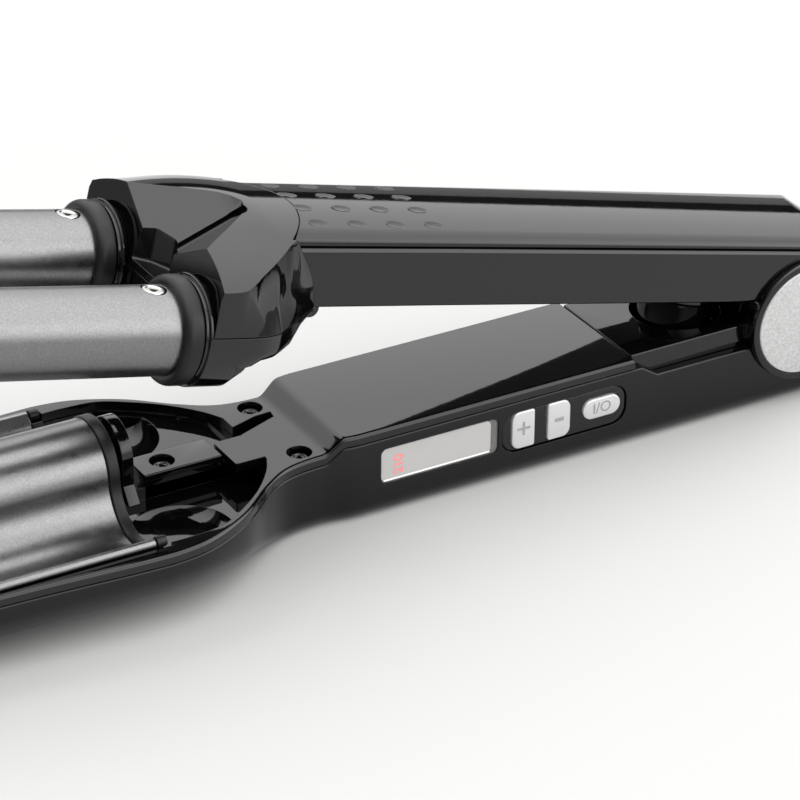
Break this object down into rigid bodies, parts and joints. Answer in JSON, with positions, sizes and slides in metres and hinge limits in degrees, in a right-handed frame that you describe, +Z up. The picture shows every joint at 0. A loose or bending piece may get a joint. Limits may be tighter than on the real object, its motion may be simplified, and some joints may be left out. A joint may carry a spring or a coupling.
{
  "type": "hair waver",
  "caption": "Clamp-style hair waver: barrels in a forked yoke close on a wave-shaped plate, with a sprung hinge, a display and side keys.",
  "frame": {"origin": "on the flat underside of the lower arm, straight below the hinge pin", "axes": "-X along the lower arm to the barrel tips, +Z up from the underside to the upper arm, -Y to the display side"},
  "size_m": [0.3048, 0.0724, 0.0933],
  "materials": {
    "gloss_black": "piano-black gloss",
    "matt_black": "matt",
    "titanium": "satin titanium coating",
    "silver": "satin silver",
    "steel": "bright",
    "ceramic": "matt filler",
    "brass": "plain",
    "board": "solder mask",
    "display": "pale panel",
    "lens": "clear"
  },
  "bodies": {
    "lower_arm": {"lower_shell": "gloss_black", "deck_cover": "gloss_black", "tray_insert": "gloss_black", "wire_plinth": "gloss_black", "plinth_screw": "steel", "neck_screw_near": "steel", "neck_screw_far": "steel", "wave_plate": "titanium", "plate_gasket_rear": "matt_black", "plate_bulkhead": "gloss_black", "plate_carrier": "matt_black", "plate_heater": "ceramic", "rail_cap_near": "matt_black", "rail_cap_far": "matt_black", "lower_tip": "matt_black", "hinge_frame": "gloss_black", "hinge_pin": "steel", "cap_ring_near": "gloss_black", "cap_ring_far": "gloss_black", "hinge_disc_near": "silver", "hinge_disc_far": "silver", "hinge_spring": "steel", "circuit_board": "board", "display_panel": "display", "display_lens": "lens", "key_panel": "gloss_black"},
    "upper_arm": {"arm_body": "gloss_black", "arm_crown": "gloss_black", "hinge_bush": "brass", "spring_cup": "gloss_black", "yoke_upper": "gloss_black", "yoke_lower": "gloss_black", "yoke_screw": "steel", "barrel_near": "titanium", "barrel_core_near": "ceramic", "collar_near": "matt_black", "socket_ring_near": "gloss_black", "barrel_screw_near": "steel", "barrel_tip_near": "matt_black", "barrel_far": "titanium", "barrel_core_far": "ceramic", "collar_far": "matt_black", "socket_ring_far": "gloss_black", "barrel_screw_far": "steel", "barrel_tip_far": "matt_black"},
    "plus_key": {"plus_key": "silver"},
    "minus_key": {"minus_key": "silver"},
    "power_key": {"power_key": "silver"},
    "cord_gland": {"cord_gland": "matt_black"}
  },
  "joints": [
    {"name": "arm_hinge", "type": "hinge", "parent": "lower_arm", "child": "upper_arm", "pos_m": [0, 0, 0.0206], "axis": [0, -1, 0], "range_deg": [0, 12.9], "stiffness_Nm_per_rad": 0.9, "springref_deg": -28.65, "deforming": ["hinge_spring"]},
    {"name": "plus_key_press", "type": "slide", "parent": "lower_arm", "child": "plus_key", "axis": [0, 1, 0], "range_m": [0, 0.0008], "stiffness_N_per_m": 500, "springref_m": -0.0008},
    {"name": "minus_key_press", "type": "slide", "parent": "lower_arm", "child": "minus_key", "axis": [0, 1, 0], "range_m": [0, 0.0008], "stiffness_N_per_m": 500, "springref_m": -0.0008},
    {"name": "power_key_press", "type": "slide", "parent": "lower_arm", "child": "power_key", "axis": [0, 1, 0], "range_m": [0, 0.0008], "stiffness_N_per_m": 500, "springref_m": -0.0008},
    {"name": "gland_swivel", "type": "hinge", "parent": "lower_arm", "child": "cord_gland", "pos_m": [0.022, 0, 0.009], "axis": [1, 0, 0], "continuous": true}
  ]
}
